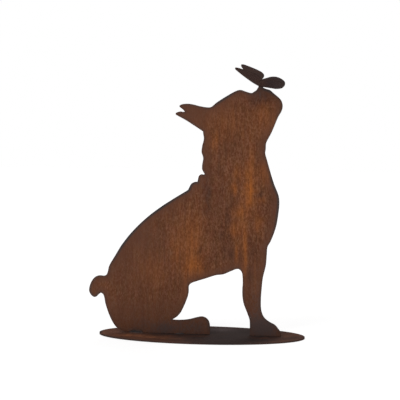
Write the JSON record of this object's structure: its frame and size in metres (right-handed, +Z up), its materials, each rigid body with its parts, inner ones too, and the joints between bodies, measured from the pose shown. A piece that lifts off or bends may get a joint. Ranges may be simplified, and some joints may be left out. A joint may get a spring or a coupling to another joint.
{
  "type": "metal bulldog figurine",
  "caption": "Flat rusted sheet-steel bulldog sitting on an oval foot plate, looking up at a folded butterfly on its nose.",
  "frame": {"origin": "centre of the foot plate's underside", "axes": "+X the way the dog faces, +Z up, the dog's sheet lies in the XZ plane"},
  "size_m": [0.3153, 0.12, 0.3914],
  "materials": {
    "base_rust": "rust coat on bare steel sheet, matt, dark brown with orange ends",
    "dog_rust": "rust coat on bare steel sheet, matt, orange-brown with dark cut edges",
    "butterfly_rust": "thin dark rust coat on bare steel sheet, matt"
  },
  "bodies": {
    "root": {"base_plate": "base_rust", "dog_profile": "dog_rust", "butterfly": "butterfly_rust"}
  },
  "joints": []
}
